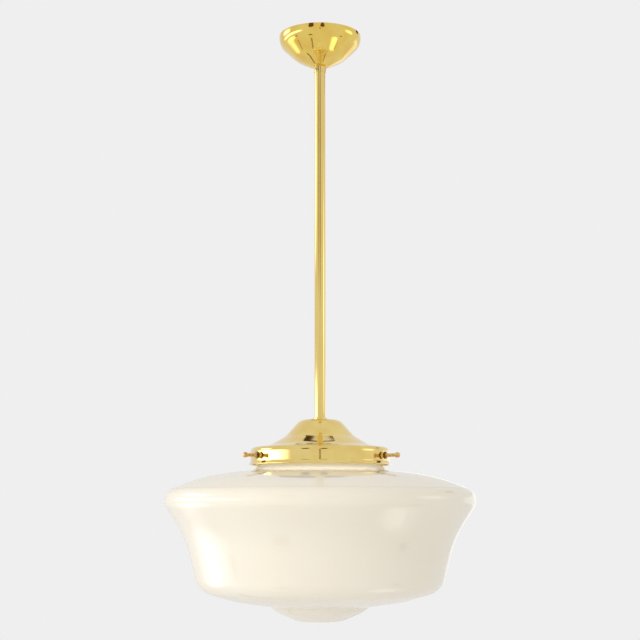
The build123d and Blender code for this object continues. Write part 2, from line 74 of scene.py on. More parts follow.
def new_material(name, **values):
    """A material whose one shader has these constant values on its own sockets."""
    material = bpy.data.materials.new(name)
    material.use_nodes = True
    shader = material.node_tree.nodes["Principled BSDF"]
    for socket, value in values.items():
        shader.inputs[socket.replace("_", " ")].default_value = value
    return material, material.node_tree, shader


def object_noise(tree, scale, stretch=(1, 1, 1), detail=3.0):
    """Noise in the piece's own coordinates, in cycles a metre."""
    where = add_node(tree, "ShaderNodeTexCoord", (-1100, 0))
    sized = add_node(tree, "ShaderNodeMapping", (-900, 0))
    sized.inputs["Scale"].default_value = stretch
    noise = add_node(tree, "ShaderNodeTexNoise", (-700, 0), in_Scale=scale, in_Detail=detail)
    tree.links.new(where.outputs["Object"], sized.inputs["Vector"])
    tree.links.new(sized.outputs["Vector"], noise.inputs["Vector"])
    return noise


def shade_by(tree, factor, low, high, start=0.35, end=0.65):
    """A colour ramp between two colours or two greys."""
    ramp = add_node(tree, "ShaderNodeValToRGB", (-450, 0))
    ramp.color_ramp.elements[0].position = start
    ramp.color_ramp.elements[1].position = end
    ramp.color_ramp.elements[0].color = (*low, 1)
    ramp.color_ramp.elements[1].color = (*high, 1)
    tree.links.new(factor, ramp.inputs["Fac"])
    return ramp.outputs["Color"]


def rough_between(tree, factor, low, high):
    """A roughness that wanders between two values."""
    spread = add_node(tree, "ShaderNodeMapRange", (-450, -250))
    spread.inputs["To Min"].default_value = low
    spread.inputs["To Max"].default_value = high
    tree.links.new(factor, spread.inputs["Value"])
    return spread.outputs["Result"]


def bump_from(tree, height, depth, shader):
    """A surface relief of this depth in metres."""
    bump = add_node(tree, "ShaderNodeBump", (-200, -450), in_Strength=1.0, in_Distance=depth)
    tree.links.new(height, bump.inputs["Height"])
    tree.links.new(bump.outputs["Normal"], shader.inputs["Normal"])


lacquer = {"Coat_Weight": 0.6, "Coat_Roughness": 0.03, "Coat_IOR": 1.5}


def make_brass(name, deep, pale):
    """Brass turned on the Z axis: rings from the tool, cloudy polish and a coat of lacquer."""
    material, tree, shader = new_material(name, Metallic=1.0, **lacquer)
    cloud = object_noise(tree, 55.0, detail=4.0)
    tree.links.new(shade_by(tree, cloud.outputs["Fac"], deep, pale), shader.inputs["Base Color"])
    rough = rough_between(tree, cloud.outputs["Fac"], 0.045, 0.10)
    tree.links.new(rough, shader.inputs["Roughness"])
    rings = object_noise(tree, 900.0, (0.02, 0.02, 1.0), 2.0)
    bump_from(tree, rings.outputs["Fac"], 0.000006, shader)
    return material


def rounded(corners, bends, most=2.0):
    """Points along straight runs joined by tangent arcs, from corners and one radius for each bend.
    No two neighbours are further apart than the given length."""
    points = [Vector(corners[0])]
    for before, corner, after, radius in zip(corners, corners[1:], corners[2:], bends):
        corner = Vector(corner)
        back = (Vector(before) - corner).normalized()
        ahead = (Vector(after) - corner).normalized()
        half = acos(max(-1.0, min(1.0, back.dot(ahead)))) / 2
        if radius <= 0 or half < 0.01 or pi / 2 - half < 0.001:
            points.append(corner)
            continue
        centre = corner + (back + ahead).normalized() * (radius / sin(half))
        first = corner + back * (radius / tan(half)) - centre
        turn = pi - 2 * half
        if first.y * back.x - first.x * back.y < 0:
            turn = -turn
        steps = max(4, int(abs(turn) / 0.16), int(abs(turn) * radius / most))
        for count in range(steps + 1):
            points.append(centre + Matrix.Rotation(turn * count / steps, 2) @ first)
    points.append(Vector(corners[-1]))
    dense = [points[0]]
    for start, end in zip(points, points[1:]):
        parts = max(1, round((end - start).length / most))
        dense += [start.lerp(end, part / parts) for part in range(1, parts + 1)]
    return dense


def inside_of(corners, bends, wall):
    """The corners and bends of the line that runs inside another at the wall's distance."""
    points = [Vector(corner) for corner in corners]
    sides = []
    for start, end in zip(points, points[1:]):
        run = (end - start).normalized()
        sides.append(Vector((run.y, -run.x)))
    inner = [points[0] + sides[0] * wall]
    inner_bends = []
    for point, before, after, bend in zip(points[1:-1], sides, sides[1:], bends):
        inner.append(point + (before + after) * (wall / (1 + before.dot(after))))
        inward = before.x * after.y - before.y * after.x < 0
        inner_bends.append(max(bend - wall, 0.0) if inward else bend + wall)
    inner.append(points[-1] + sides[-1] * wall)
    return inner, inner_bends


def walled(corners, bends, wall, most=2.0):
    """The closed section of a shell: its outer line, then the line inside it, back to the start."""
    inner, inner_bends = inside_of(corners, bends, wall)
    return rounded(corners, bends, most) + rounded(inner, inner_bends, most)[::-1]


# The lathe: every vertex of a grid takes its radius and height from one point of the section,
# which is the tree's own input mesh, and its angle from its place in the row.
lathe = bpy.data.node_groups.new("lathe", "GeometryNodeTree")
lathe.interface.new_socket("Geometry", in_out="INPUT", socket_type="NodeSocketGeometry")
lathe.interface.new_socket("Segments", in_out="INPUT", socket_type="NodeSocketInt")
lathe.interface.new_socket("Material", in_out="INPUT", socket_type="NodeSocketMaterial")
lathe.interface.new_socket("Geometry", in_out="OUTPUT", socket_type="NodeSocketGeometry")


def wire(tree, start, end):
    """Links one socket to another."""
    tree.links.new(start, end)


def maths(tree, operation, first, second=None):
    """One arithmetic node; each operand is a socket or a number."""
    node = tree.nodes.new("ShaderNodeMath")
    node.operation = operation
    for index, value in enumerate((first, second)):
        if value is None:
            continue
        if isinstance(value, (int, float)):
            node.inputs[index].default_value = value
        else:
            tree.links.new(value, node.inputs[index])
    return node.outputs[0]


given = lathe.nodes.new("NodeGroupInput")
result = lathe.nodes.new("NodeGroupOutput")
count = lathe.nodes.new("GeometryNodeAttributeDomainSize")
wire(lathe, given.outputs["Geometry"], count.inputs["Geometry"])
around = maths(lathe, "ADD", given.outputs["Segments"], 1.0)
grid = lathe.nodes.new("GeometryNodeMeshGrid")
wire(lathe, count.outputs["Point Count"], grid.inputs["Vertices X"])
wire(lathe, around, grid.inputs["Vertices Y"])
index = lathe.nodes.new("GeometryNodeInputIndex").outputs[0]
along = maths(lathe, "FLOOR", maths(lathe, "DIVIDE", maths(lathe, "ADD", index, 0.5), around))
step_round = maths(lathe, "SUBTRACT", index, maths(lathe, "MULTIPLY", along, around))
share = maths(lathe, "DIVIDE", step_round, given.outputs["Segments"])
angle = maths(lathe, "MULTIPLY", share, 2 * pi)
sample = lathe.nodes.new("GeometryNodeSampleIndex")
sample.data_type = "FLOAT_VECTOR"
position = lathe.nodes.new("GeometryNodeInputPosition")
wire(lathe, given.outputs["Geometry"], sample.inputs["Geometry"])
wire(lathe, position.outputs[0], sample.inputs["Value"])
wire(lathe, along, sample.inputs["Index"])
split = lathe.nodes.new("ShaderNodeSeparateXYZ")
wire(lathe, sample.outputs[0], split.inputs[0])
placed = lathe.nodes.new("ShaderNodeCombineXYZ")
for axis, ratio in (("X", "SINE"), ("Y", "COSINE")):
    reach = maths(lathe, "MULTIPLY", split.outputs["X"], maths(lathe, ratio, angle))
    wire(lathe, reach, placed.inputs[axis])
wire(lathe, split.outputs["Z"], placed.inputs["Z"])
moved = lathe.nodes.new("GeometryNodeSetPosition")
wire(lathe, grid.outputs["Mesh"], moved.inputs["Geometry"])
wire(lathe, placed.outputs[0], moved.inputs["Position"])
welded = lathe.nodes.new("GeometryNodeMergeByDistance")
welded.inputs["Distance"].default_value = 0.000002
wire(lathe, moved.outputs[0], welded.inputs["Geometry"])
realized = lathe.nodes.new("GeometryNodeRealizeInstances")
wire(lathe, welded.outputs[0], realized.inputs["Geometry"])
painted = lathe.nodes.new("GeometryNodeSetMaterial")
wire(lathe, realized.outputs[0], painted.inputs["Geometry"])
wire(lathe, given.outputs["Material"], painted.inputs["Material"])
wire(lathe, painted.outputs[0], result.inputs[0])


def baked(name, holder, tree, inputs):
    """Runs a tree on an object and returns the result as a plain mesh object.
    The inputs are given by the names of their sockets."""
    modifier = holder.modifiers.new(tree.name, "NODES")
    modifier.node_group = tree
    for item in tree.interface.items_tree:
        if item.item_type == "SOCKET" and item.in_out == "INPUT" and item.name in inputs:
            modifier[item.identifier] = inputs[item.name]
    graph = bpy.context.evaluated_depsgraph_get()
    mesh = bpy.data.meshes.new_from_object(holder.evaluated_get(graph))
    holder.modifiers.remove(modifier)
    bpy.data.objects.remove(holder)
    mesh.name = name
    piece = bpy.data.objects.new(name, mesh)
    bpy.context.scene.collection.objects.link(piece)
    return piece


def outward_faces(piece, sharp=35.0):
    """Turns every face outward, drops what belongs to no face, and shades the piece smooth,
    with edges sharper than the angle kept crisp."""
    work = bmesh.new()
    work.from_mesh(piece.data)
    stray_edges = [edge for edge in work.edges if not edge.link_faces]
    bmesh.ops.delete(work, geom=stray_edges, context="EDGES")
    stray_points = [point for point in work.verts if not point.link_faces]
    bmesh.ops.delete(work, geom=stray_points, context="VERTS")
    bmesh.ops.recalc_face_normals(work, faces=work.faces)
    work.to_mesh(piece.data)
    work.free()
    piece.data.shade_smooth()
    piece.data.set_sharp_from_angle(angle=radians(sharp))
    return piece


def turned(name, section, material, segments=256):
    """A closed piece turned about Z from its section, a closed line of radii and heights in
    millimetres."""
    mesh = bpy.data.meshes.new(name)
    points = [(point[0] / 1000, 0.0, point[1] / 1000) for point in section]
    mesh.from_pydata(points + [points[0]], [(n, n + 1) for n in range(len(points))], [])
    holder = bpy.data.objects.new(name, mesh)
    bpy.context.scene.collection.objects.link(holder)
    piece = baked(name, holder, lathe, {"Segments": segments, "Material": material})
    return outward_faces(piece)


def top_of(node):
    """The height of a CAD node's highest point, in millimetres."""
    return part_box(node)[1].z * 1000


def foot_of(node):
    """The height of a CAD node's lowest point, in millimetres."""
    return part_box(node)[0].z * 1000


def radius_of(node):
    """Half the width of a CAD node along X, in millimetres."""
    low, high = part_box(node)
    return (high.x - low.x) * 500


sheet = 0.9
canopy_rim = top_of("canopy")
canopy_floor = foot_of("canopy")
canopy_radius = radius_of("canopy")
canopy_corners = [
    (canopy_radius, canopy_rim),
    (canopy_radius, canopy_rim - 10.0),
    (29.2, canopy_rim - 28.2),
    (10.9, canopy_floor),
    (6.65, canopy_floor),
]
canopy_bends = [17, 26, 5]
canopy_brass = make_brass("canopy_brass", (0.85, 0.57, 0.10), (0.90, 0.68, 0.16))
canopy = turned("canopy_cup", walled(canopy_corners, canopy_bends, sheet), canopy_brass)
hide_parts("canopy")
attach(canopy, "cover")


# ---- slip collar and grub screw: a ring turned from brass bar, clamped to the stem ----
# The collar carries the canopy. Its small steel grub screw bites on the stem, and is backed off
# to let the canopy down the stem.
def ring_section(outer, bore, top, foot, edge):
    """The closed section of a plain ring with rounded outer edges."""
    corners = [(bore, top), (outer, top), (outer, foot), (bore, foot), (bore, top)]
    return rounded(corners, [edge, edge, 0], 0.8)[:-1]


def collar_section(node, bore, edge):
    """The section of a collar that takes its width and height from a CAD node."""
    return ring_section(radius_of(node), bore, top_of(node), foot_of(node), edge)


stem_radius = radius_of("stem")
slide_gap = 0.1
polished_brass = make_brass("polished_brass", (0.86, 0.63, 0.19), (0.90, 0.71, 0.25))
slip_section = collar_section("slip_collar", stem_radius + slide_gap, 0.45)
slip_collar = turned("slip_collar_ring", slip_section, polished_brass, 128)
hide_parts("slip_collar")
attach(slip_collar, "cover")


def finish_nodes(material, *names):
    """Gives carried-over pieces their finish."""
    for name in names:
        for place in nodes[name].material_slots:
            place.material = material


def make_zinc(name, deep, pale):
    """Zinc plate on steel: a fine crystalline sparkle and a faint cast of colour."""
    material, tree, shader = new_material(name, Metallic=1.0)
    grain = object_noise(tree, 420.0, detail=6.0)
    tint = shade_by(tree, grain.outputs["Fac"], deep, pale)
    tree.links.new(tint, shader.inputs["Base Color"])
    rough = rough_between(tree, grain.outputs["Fac"], 0.22, 0.42)
    tree.links.new(rough, shader.inputs["Roughness"])
    bump_from(tree, grain.outputs["Fac"], 0.00002, shader)
    return material


olive_zinc = make_zinc("olive_zinc", (0.34, 0.32, 0.17), (0.52, 0.49, 0.28))
finish_nodes(olive_zinc, "grub_screw")


# ---- ceiling plate, hook and nut: zinc-plated steel, screwed to the ceiling joist ----
# The plate is a pressed disc with two slots. The hook is bent from wire and held by a nut.
zinc_plate = make_zinc("zinc_plate", (0.50, 0.53, 0.57), (0.72, 0.74, 0.76))
finish_nodes(zinc_plate, "ceiling_plate", "ceiling_hook", "hook_nut")


# ---- ring nipple, earth tag and screw: the stem hangs from these inside the canopy ----
# The ring is cast in one with its neck, and its stud is screwed into the stem's top. The tag is
# nickelled copper and carries the earth wire.
def make_plain_brass():
    """Machined brass, unlacquered and slightly dulled by handling."""
    material, tree, shader = new_material("machined_brass", Metallic=1.0)
    tarnish = object_noise(tree, 160.0, detail=5.0)
    tint = shade_by(tree, tarnish.outputs["Fac"], (0.55, 0.38, 0.13), (0.80, 0.60, 0.24))
    tree.links.new(tint, shader.inputs["Base Color"])
    rough = rough_between(tree, tarnish.outputs["Fac"], 0.18, 0.38)
    tree.links.new(rough, shader.inputs["Roughness"])
    bump_from(tree, tarnish.outputs["Fac"], 0.00001, shader)
    return material


def make_nickel():
    """Nickel plate: a warm grey metal with soft cloudy wear."""
    material, tree, shader = new_material("nickel_plate", Metallic=1.0)
    wear = object_noise(tree, 240.0, detail=4.0)
    tint = shade_by(tree, wear.outputs["Fac"], (0.60, 0.57, 0.52), (0.76, 0.73, 0.68))
    tree.links.new(tint, shader.inputs["Base Color"])
    rough = rough_between(tree, wear.outputs["Fac"], 0.14, 0.30)
    tree.links.new(rough, shader.inputs["Roughness"])
    bump_from(tree, wear.outputs["Fac"], 0.000006, shader)
    return material


machined_brass = make_plain_brass()
nickel_plate = make_nickel()
finish_nodes(machined_brass, "ring_nipple", "earth_screw")
finish_nodes(nickel_plate, "earth_tag")


# ---- connector block and wires: the mains joint above the canopy ----
# The block is moulded nylon with brass inserts and clamp screws. Three insulated wires run from
# it through the ring nipple and down the stem to the lampholder.
def make_plastic(name, low, high, roughness, grain, relief):
    """Moulded or drawn plastic with a fine grain and slight unevenness of colour."""
    material, tree, shader = new_material(name, IOR=1.5)
    skin = object_noise(tree, grain, detail=4.0)
    tree.links.new(shade_by(tree, skin.outputs["Fac"], low, high), shader.inputs["Base Color"])
    rough = rough_between(tree, skin.outputs["Fac"], *roughness)
    tree.links.new(rough, shader.inputs["Roughness"])
    bump_from(tree, skin.outputs["Fac"], relief, shader)
    return material


nylon = make_plastic(
    "moulded_nylon", (0.72, 0.71, 0.66), (0.83, 0.82, 0.78), (0.38, 0.55), 700.0, 0.00002
)
drawn_skin = ((0.28, 0.42), 500.0, 0.00001)
brown_wire = make_plastic("brown_wire", (0.055, 0.022, 0.010), (0.10, 0.045, 0.022), *drawn_skin)
blue_wire = make_plastic("blue_wire", (0.008, 0.05, 0.26), (0.015, 0.09, 0.38), *drawn_skin)
finish_nodes(nylon, "connector_block")
finish_nodes(machined_brass, "connector_inserts")
finish_nodes(zinc_plate, "connector_screws")
finish_nodes(brown_wire, "wire_live")
finish_nodes(blue_wire, "wire_neutral")


def make_earth_wire():
    """Green insulation with a yellow stripe that winds slowly along the wire."""
    material, tree, shader = new_material("earth_wire", Roughness=0.34, IOR=1.5)
    where = add_node(tree, "ShaderNodeTexCoord", (-1100, 0))
    bands = add_node(tree, "ShaderNodeTexWave", (-800, 0), in_Scale=45.0, in_Distortion=1.5)
    bands.bands_direction = "DIAGONAL"
    tree.links.new(where.outputs["Object"], bands.inputs["Vector"])
    green, yellow = (0.03, 0.24, 0.05), (0.78, 0.62, 0.03)
    stripe = shade_by(tree, bands.outputs["Fac"], green, yellow, 0.47, 0.53)
    tree.links.new(stripe, shader.inputs["Base Color"])
    skin = add_node(tree, "ShaderNodeTexNoise", (-800, -400), in_Scale=500.0)
    tree.links.new(where.outputs["Object"], skin.inputs["Vector"])
    bump_from(tree, skin.outputs["Fac"], 0.00001, shader)
    return material


finish_nodes(make_earth_wire(), "wire_earth")


# ---- stem: a straight length of half-inch brass tube, drawn, polished and lacquered ----
# Drawing and polishing leave faint lines along it rather than round it.
def make_drawn_brass():
    """Brass tube polished along its length, with the faintest ripple from the draw bench."""
    material, tree, shader = new_material("drawn_brass", Metallic=1.0, **lacquer)
    cloud = object_noise(tree, 40.0, (1.0, 1.0, 0.25), 4.0)
    tint = shade_by(tree, cloud.outputs["Fac"], (0.86, 0.63, 0.19), (0.90, 0.71, 0.25))
    tree.links.new(tint, shader.inputs["Base Color"])
    rough = rough_between(tree, cloud.outputs["Fac"], 0.05, 0.11)
    tree.links.new(rough, shader.inputs["Roughness"])
    lines = object_noise(tree, 1500.0, (1.0, 1.0, 0.01), 2.0)
    bump_from(tree, lines.outputs["Fac"], 0.000004, shader)
    return material


stem_wall = 1.35
stem_bore = stem_radius - stem_wall
stem_top = top_of("stem")
stem_foot = foot_of("stem")
stem_middle = (stem_top + stem_foot) / 2
stem_corners = [
    (stem_radius, stem_middle),
    (stem_radius, stem_foot),
    (stem_bore, stem_foot),
    (stem_bore, stem_top),
    (stem_radius, stem_top),
    (stem_radius, stem_middle),
]
stem_section = rounded(stem_corners, [0.2, 0.2, 0.2, 0.2], 6.0)[:-1]
stem = turned("stem_tube", stem_section, make_drawn_brass(), 128)
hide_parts("stem")
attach(stem, "pendant")


# ---- foot collar and gallery: the fitting that holds the glass ----
# The collar is a turned ring under the stem. The gallery is spun from brass sheet, with a domed
# top, a flared skirt and an upright band, and its edge is rolled back into a bead.
foot_section = collar_section("foot_collar", stem_bore, 0.6)
foot_collar = turned("foot_collar_ring", foot_section, polished_brass, 128)
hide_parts("foot_collar")

gallery_top = top_of("gallery")
bead_radius = 0.9
bead_middle = radius_of("gallery") - bead_radius
lip_radius = bead_middle + sheet / 2
lip_flare = 1.0
band_radius = lip_radius - lip_flare
lip_height = foot_of("gallery") + bead_radius
gallery_corners = [
    (stem_bore, gallery_top),
    (22.5, gallery_top),
    (39.4, gallery_top - 18.9),
    (58.7, gallery_top - 30.3),
    (band_radius, gallery_top - 32.5),
    (band_radius, gallery_top - 48.4),
    (lip_radius, lip_height),
]
gallery_bends = [13.9, 15.9, 28.5, 5.5, 2.0]
gallery_inner, gallery_inner_bends = inside_of(gallery_corners, gallery_bends, sheet)
roll_start = lip_height + 0.55
gallery_corners[-1] = (lip_radius, roll_start)
gallery_inner[-1] = (lip_radius - sheet, roll_start)
gallery_section = rounded(gallery_corners, gallery_bends, 1.6)
for step in range(1, 18):
    bend = radians(30 - 300 * step / 18)
    rim = Vector((cos(bend), sin(bend))) * bead_radius
    gallery_section.append(Vector((bead_middle, lip_height)) + rim)
gallery_section += rounded(gallery_inner, gallery_inner_bends, 1.6)[::-1]
gallery = turned("gallery_spinning", gallery_section, polished_brass)
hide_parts("gallery")
for piece in (foot_collar, gallery):
    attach(piece, "pendant")


# ---- bushes, lock nuts and thumb screws: three sets round the band ----
# Each bush is riveted into the band and threaded for its screw. The nut locks the screw, and the
# screw's tip stands under the lip of the glass. All are brass, the screws rolled and knobbed.
screw_angles = (-58.0, 62.0, 182.0)
screw_height = (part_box("thumb_screw_1")[0].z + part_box("thumb_screw_1")[1].z) * 500


def tool(name, sizes):
    """An empty tree that takes a turned blank, with its sizes as named inputs."""
    tree = bpy.data.node_groups.new(name, "GeometryNodeTree")
    tree.interface.new_socket("Geometry", in_out="INPUT", socket_type="NodeSocketGeometry")
    for size in sizes:
        tree.interface.new_socket(size, in_out="INPUT", socket_type="NodeSocketFloat")
    tree.interface.new_socket("Material", in_out="INPUT", socket_type="NodeSocketMaterial")
    tree.interface.new_socket("Geometry", in_out="OUTPUT", socket_type="NodeSocketGeometry")
    inlet = tree.nodes.new("NodeGroupInput")
    apart = tree.nodes.new("ShaderNodeSeparateXYZ")
    wire(tree, tree.nodes.new("GeometryNodeInputPosition").outputs[0], apart.inputs[0])
    x, y, z = apart.outputs
    squares = [maths(tree, "MULTIPLY", side, side) for side in (x, y)]
    across = maths(tree, "SQRT", maths(tree, "ADD", *squares))
    turn = maths(tree, "ARCTAN2", y, x)
    return tree, inlet, across, turn, z


def close_tool(tree, inlet, scale):
    """Ends a tree: each point moves in or out from the axis by the scale, and keeps its height."""
    shape = tree.nodes.new("GeometryNodeSetPosition")
    where = tree.nodes.new("GeometryNodeInputPosition")
    scaled = tree.nodes.new("ShaderNodeVectorMath")
    scaled.operation = "MULTIPLY"
    factor = tree.nodes.new("ShaderNodeCombineXYZ")
    factor.inputs["Z"].default_value = 1.0
    wire(tree, scale, factor.inputs["X"])
    wire(tree, scale, factor.inputs["Y"])
    wire(tree, where.outputs[0], scaled.inputs[0])
    wire(tree, factor.outputs[0], scaled.inputs[1])
    wire(tree, inlet.outputs["Geometry"], shape.inputs["Geometry"])
    wire(tree, scaled.outputs[0], shape.inputs["Position"])
    real = tree.nodes.new("GeometryNodeRealizeInstances")
    paint = tree.nodes.new("GeometryNodeSetMaterial")
    outlet = tree.nodes.new("NodeGroupOutput")
    wire(tree, shape.outputs[0], real.inputs["Geometry"])
    wire(tree, real.outputs[0], paint.inputs["Geometry"])
    wire(tree, inlet.outputs["Material"], paint.inputs["Material"])
    wire(tree, paint.outputs[0], outlet.inputs[0])


# The die: a helical groove of the pitch and depth between two heights, fading out at its ends.
on_axis = 0.0001
die, inlet, across, turn, height = tool("thread_die", ("Pitch", "Depth", "From", "To"))
pitch = inlet.outputs["Pitch"]
climb = maths(die, "DIVIDE", height, pitch)
lead = maths(die, "ADD", climb, maths(die, "DIVIDE", turn, 2 * pi))
wave = maths(die, "MULTIPLY", maths(die, "PINGPONG", lead, 0.5), 2.0)
above_start = maths(die, "SUBTRACT", height, inlet.outputs["From"])
below_end = maths(die, "SUBTRACT", inlet.outputs["To"], height)
nearest = maths(die, "MINIMUM", above_start, below_end)
fade = maths(die, "MINIMUM", maths(die, "DIVIDE", nearest, pitch), 1.0)
fade = maths(die, "MAXIMUM", fade, 0.0)
groove = maths(die, "MULTIPLY", maths(die, "MULTIPLY", wave, inlet.outputs["Depth"]), fade)
cut = maths(die, "DIVIDE", groove, maths(die, "MAXIMUM", across, on_axis))
close_tool(die, inlet, maths(die, "SUBTRACT", 1.0, cut))

# The mill: six flats at the given distance from the axis, cut no deeper than that.
mill, inlet, across, turn, height = tool("hexagon_mill", ("Flat",))
sixth = maths(mill, "SUBTRACT", maths(mill, "FLOORED_MODULO", turn, pi / 3), pi / 6)
flat = maths(mill, "DIVIDE", inlet.outputs["Flat"], maths(mill, "COSINE", sixth))
kept = maths(mill, "MAXIMUM", maths(mill, "MINIMUM", across, flat), on_axis)
close_tool(mill, inlet, maths(mill, "DIVIDE", kept, maths(mill, "MAXIMUM", across, on_axis)))


def point_outward(piece, angle, radius):
    """Lays a piece that was turned on Z along a thumb screw's axis, its foot at the radius."""
    way = Vector((sin(radians(angle)), -cos(radians(angle)), 0.0))
    upright = Vector((0.0, 0.0, 1.0))
    place = Matrix((upright, way.cross(upright), way)).transposed().to_4x4()
    place.translation = way * (radius / 1000) + upright * (screw_height / 1000)
    piece.data.transform(place)


def make_screw_brass(name, deep, pale):
    """Rolled or sawn brass, its colour and roughness mottled at random between the deep and the
    pale tone.
    """
    material, tree, shader = new_material(name, Metallic=1.0)
    mottling = object_noise(tree, 600.0, detail=4.0)
    tint = shade_by(tree, mottling.outputs["Fac"], deep, pale)
    tree.links.new(tint, shader.inputs["Base Color"])
    rough = rough_between(tree, mottling.outputs["Fac"], 0.12, 0.28)
    tree.links.new(rough, shader.inputs["Roughness"])
    bump_from(tree, mottling.outputs["Fac"], 0.00001, shader)
    return material


screw_brass = make_screw_brass("screw_brass", (0.62, 0.33, 0.10), (0.88, 0.62, 0.25))
# The lock nuts are painted near-black: painted shade that stands in for the shade and dark
# reflections on them.
painted_dark_nut_brass = make_screw_brass("painted_dark_nut_brass", (0.07, 0.04, 0.015), (0.26, 0.16, 0.05))
bush_foot = 78.2
nut_foot = 81.6
screw_tip = 70.3
screw_radius = 2.0
screw_point = 0.4
screw_length = 30.7
knob_radius = 2.9
knob_foot = screw_length - 5.0
screw_corners = [
    (0.0, 0.0),
    (screw_radius - screw_point, 0.0),
    (screw_radius, screw_point),
    (screw_radius, knob_foot),
    (knob_radius, knob_foot),
    (knob_radius, screw_length),
    (0.0, screw_length),
]
screw_section = rounded(screw_corners, [0.1, 0.2, 0.25, 0.85, 2.2], 0.11)
thread = {"Pitch": 0.0007, "Depth": 0.00036, "From": 0.0006, "To": 0.0247, "Material": screw_brass}
screw_bore = screw_radius + 0.05
bush_section = ring_section(3.25, screw_bore, 3.3, 0.0, 0.3)
nut_height = 2.7
nut_corner = 4.1
nut_face = 3.35
nut_chamfer = 0.45
nut_corners = [
    (screw_bore, nut_height),
    (nut_face, nut_height),
    (nut_corner, nut_height - nut_chamfer),
    (nut_corner, nut_chamfer),
    (nut_face, 0.0),
    (screw_bore, 0.0),
    (screw_bore, nut_height),
]
nut_section = rounded(nut_corners, [0.05] * 5, 0.12)[:-1]
for number, angle in enumerate(screw_angles, 1):
    bush = turned(f"band_bush_{number}", bush_section, polished_brass, 64)
    point_outward(bush, angle, bush_foot)
    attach(bush, "pendant")
    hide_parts("screw_bushes")

    nut = turned(f"hexagon_nut_{number}", nut_section, painted_dark_nut_brass, 96)
    nut = baked(f"hexagon_nut_{number}", nut, mill, {"Flat": 0.0035, "Material": painted_dark_nut_brass})
    outward_faces(nut, 25.0)
    point_outward(nut, angle, nut_foot)
    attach(nut, f"lock_{number}")
    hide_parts(f"lock_nut_{number}")

    screw = turned(f"knob_screw_{number}", screw_section, screw_brass, 40)
    screw = baked(f"knob_screw_{number}", screw, die, thread)
    outward_faces(screw, 60.0)
    point_outward(screw, angle, screw_tip)
    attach(screw, f"screw_{number}")
    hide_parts(f"thumb_screw_{number}")


# ---- glass shade: one piece of opal glass, mould-blown, its lip ground and fire-polished ----
# White glass cased inside a clear skin, so it is glossy and a little translucent. A neck, a broad
# shoulder, a tapering flank, a flat underside and a shallow drop at the middle.
def make_opal():
    """Cased opal glass: milky, warm, faintly cloudy in thickness, with a gentle mould ripple."""
    material, tree, shader = new_material(
        "opal_glass",
        Subsurface_Weight=0.2,
        Subsurface_Scale=0.002,
        Subsurface_Radius=(1.0, 0.9, 0.75),
        IOR=1.5,
        Coat_Weight=0.5,
        Coat_Roughness=0.02,
    )
    cloud = object_noise(tree, 9.0, detail=3.0)
    tint = shade_by(tree, cloud.outputs["Fac"], (0.875, 0.812, 0.695), (0.893, 0.836, 0.728))
    tree.links.new(tint, shader.inputs["Base Color"])
    rough = rough_between(tree, cloud.outputs["Fac"], 0.10, 0.16)
    tree.links.new(rough, shader.inputs["Roughness"])
    ripple = object_noise(tree, 14.0, detail=1.0)
    bump_from(tree, ripple.outputs["Fac"], 0.0003, shader)
    return material


glass_wall = 3.0
glass_neck = 70.0
glass_lip = 74.6
glass_top = top_of("glass_shade")
glass_foot = foot_of("glass_shade")
lip_foot = glass_top - 4.4
glass_line = [
    (glass_neck, screw_height - 4.0),
    (73.8, screw_height - 15.9),
    (134.5, screw_height - 21.1),
    (185.2, screw_height - 44.2),
    (154.5, screw_height - 90.3),
    (138.0, screw_height - 151.3),
    (101.0, screw_height - 162.2),
    (56.5, screw_height - 169.2),
    (49.5, screw_height - 175.6),
    (27.0, glass_foot),
    (0.0, glass_foot),
]
glass_bends = [12, 9.7, 225, 14.7, 119.5, 24, 60, 5, 25, 14]
lip_middle = lip_foot + 2.2
lip_line = [
    (glass_neck - glass_wall, lip_middle),
    (glass_neck - glass_wall, glass_top),
    (glass_lip, glass_top),
    (glass_lip, lip_foot),
    (glass_neck, lip_foot),
]
lip_bends = [1.7, 1.7, 1.7, 0.8]
outer_line = [(glass_neck, lip_middle)] + glass_line
inner_line, inner_bends = inside_of(outer_line, glass_bends, glass_wall)
glass_section = rounded(lip_line + glass_line, lip_bends + glass_bends, 2.6)
glass_section += rounded(inner_line, inner_bends, 4.0)[:0:-1]
glass = turned("opal_shade", glass_section, make_opal())
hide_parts("glass_shade")
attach(glass, "pendant")


# ---- lower nipple, washer, nut and lampholder: inside the shade ----
# The nipple draws the gallery against the foot collar. The holder is a brass cap and shell round
# a ceramic insert, with a screw shell and a sprung contact for the bulb.
ceramic = make_plastic(
    "glazed_steatite", (0.78, 0.76, 0.70), (0.86, 0.85, 0.80), (0.16, 0.30), 220.0, 0.00003
)
finish_nodes(machined_brass, "nipple", "terminal_screws", "holder_contact", "screw_shell")
finish_nodes(zinc_plate, "nipple_washer", "nipple_nut")
finish_nodes(polished_brass, "holder_cap", "holder_shell")
finish_nodes(ceramic, "holder_insert")


# ---- bulb: a clear lamp with a screw cap, turned into the holder ----
# The cap is nickelled brass with a black glass insulator. Inside the blown bulb a glass mount
# carries the filaments.
def make_clear_glass():
    """Thin blown glass, clear, with slight ream in it."""
    material, tree, shader = new_material("clear_glass", IOR=1.5, Transmission_Weight=1.0)
    ream = object_noise(tree, 60.0, (1, 1, 0.3), 2.0)
    tint = shade_by(tree, ream.outputs["Fac"], (0.95, 0.97, 0.97), (0.99, 1.0, 1.0))
    tree.links.new(tint, shader.inputs["Base Color"])
    rough = rough_between(tree, ream.outputs["Fac"], 0.0, 0.03)
    tree.links.new(rough, shader.inputs["Roughness"])
    bump_from(tree, ream.outputs["Fac"], 0.00005, shader)
    return material


